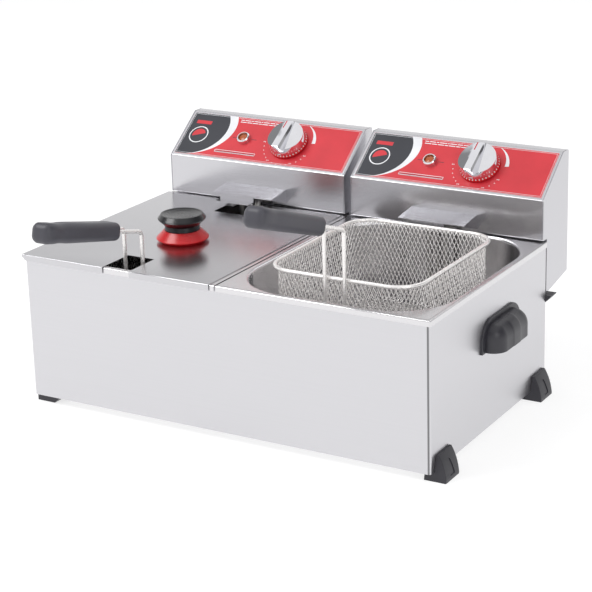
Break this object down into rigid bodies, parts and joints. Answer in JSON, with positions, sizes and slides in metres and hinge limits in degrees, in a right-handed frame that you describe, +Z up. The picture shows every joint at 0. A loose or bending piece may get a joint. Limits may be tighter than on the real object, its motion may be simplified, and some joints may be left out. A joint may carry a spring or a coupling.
{
  "type": "twin tank countertop deep fryer",
  "caption": "Twin-tank countertop electric deep fryer with lift-out tanks and sloped control heads, wire baskets with black grips, and a steel lid with a knob over one tank.",
  "frame": {"origin": "on the surface the feet stand on, under the middle of the whole fryer", "axes": "+X to the right as the user faces the controls, +Y to the back, +Z up"},
  "size_m": [0.6072, 0.5532, 0.3414],
  "materials": {
    "casing_steel": "brushed, long grain, satin",
    "lid_steel": "satin rolled sheet",
    "tank_steel": "drawn, half bright",
    "head_steel": "brushed across",
    "wire_steel": "bright drawn wire",
    "element_metal": "dull stainless tube",
    "screw_steel": "plated",
    "chrome": "polished plating",
    "overlay_print": "printed film, semi gloss",
    "amber_lens": "translucent amber",
    "red_plastic": "gloss",
    "gloss_black": "high gloss",
    "grip_plastic": "satin, fine texture",
    "black_moulding": "satin, fine texture",
    "dark_plastic": "matte"
  },
  "bodies": {
    "casing": {"casing_wrap": "casing_steel", "back_panel": "casing_steel", "bottom_plate": "casing_steel", "centre_rail": "casing_steel", "casing_screws": "screw_steel", "rest_pad_left": "black_moulding", "rest_pad_centre": "black_moulding", "rest_pad_right": "black_moulding", "carry_handle_left": "black_moulding", "carry_handle_right": "black_moulding", "foot_front_left": "black_moulding", "foot_rear_left": "black_moulding", "foot_front_right": "black_moulding", "foot_rear_right": "black_moulding"},
    "lid": {"lid_sheet": "lid_steel", "lid_knob_base": "red_plastic", "lid_knob_top": "gloss_black", "lid_screw": "screw_steel"},
    "tank_left": {"tank_left": "tank_steel"},
    "head_left": {"head_shell_left": "head_steel", "head_cover_left": "head_steel", "overlay_left": "overlay_print", "lamp_bezel_left": "chrome", "lamp_lens_left": "amber_lens", "thermostat_left": "dark_plastic", "guard_left": "head_steel", "element_plate_left": "element_metal", "element_left": "element_metal", "sensor_left": "element_metal", "terminal_block_left": "dark_plastic", "gland_left": "dark_plastic", "head_screws_left": "screw_steel"},
    "knob_left": {"knob_shaft_left": "element_metal", "knob_skirt_left": "red_plastic", "knob_cap_left": "chrome"},
    "basket_left": {"basket_mesh_left": "wire_steel", "basket_rim_left": "wire_steel", "handle_wires_left": "wire_steel", "grip_left": "grip_plastic"},
    "tank_right": {"tank_right": "tank_steel"},
    "head_right": {"head_shell_right": "head_steel", "head_cover_right": "head_steel", "overlay_right": "overlay_print", "lamp_bezel_right": "chrome", "lamp_lens_right": "amber_lens", "thermostat_right": "dark_plastic", "guard_right": "head_steel", "element_plate_right": "element_metal", "element_right": "element_metal", "sensor_right": "element_metal", "terminal_block_right": "dark_plastic", "gland_right": "dark_plastic", "head_screws_right": "screw_steel"},
    "knob_right": {"knob_shaft_right": "element_metal", "knob_skirt_right": "red_plastic", "knob_cap_right": "chrome"},
    "basket_right": {"basket_mesh_right": "wire_steel", "basket_rim_right": "wire_steel", "handle_wires_right": "wire_steel", "grip_right": "grip_plastic"}
  },
  "joints": [
    {"name": "tank_lift_left", "type": "slide", "parent": "casing", "child": "tank_left", "axis": [0, 0, 1], "range_m": [0, 0.2]},
    {"name": "head_lift_left", "type": "slide", "parent": "tank_left", "child": "head_left", "axis": [0, 0, 1], "range_m": [0, 0.22]},
    {"name": "knob_turn_left", "type": "hinge", "parent": "head_left", "child": "knob_left", "pos_m": [-0.1065, 0.21694, 0.2736], "axis": [0, -0.6, 0.8], "range_deg": [0, 270]},
    {"name": "basket_lift_left", "type": "slide", "parent": "head_left", "child": "basket_left", "axis": [0, 0, 1], "range_m": [0, 0.013]},
    {"name": "tank_lift_right", "type": "slide", "parent": "casing", "child": "tank_right", "axis": [0, 0, 1], "range_m": [0, 0.2]},
    {"name": "head_lift_right", "type": "slide", "parent": "tank_right", "child": "head_right", "axis": [0, 0, 1], "range_m": [0, 0.22]},
    {"name": "knob_turn_right", "type": "hinge", "parent": "head_right", "child": "knob_right", "pos_m": [0.1765, 0.21694, 0.2736], "axis": [0, -0.6, 0.8], "range_deg": [0, 270]},
    {"name": "basket_lift_right", "type": "slide", "parent": "head_right", "child": "basket_right", "axis": [0, 0, 1], "range_m": [0, 0.2]},
    {"name": "lid_tilt", "type": "hinge", "parent": "head_left", "child": "lid", "pos_m": [-0.1406, 0.18114, 0.1955], "axis": [-1, 0, 0], "range_deg": [0, 12]}
  ]
}
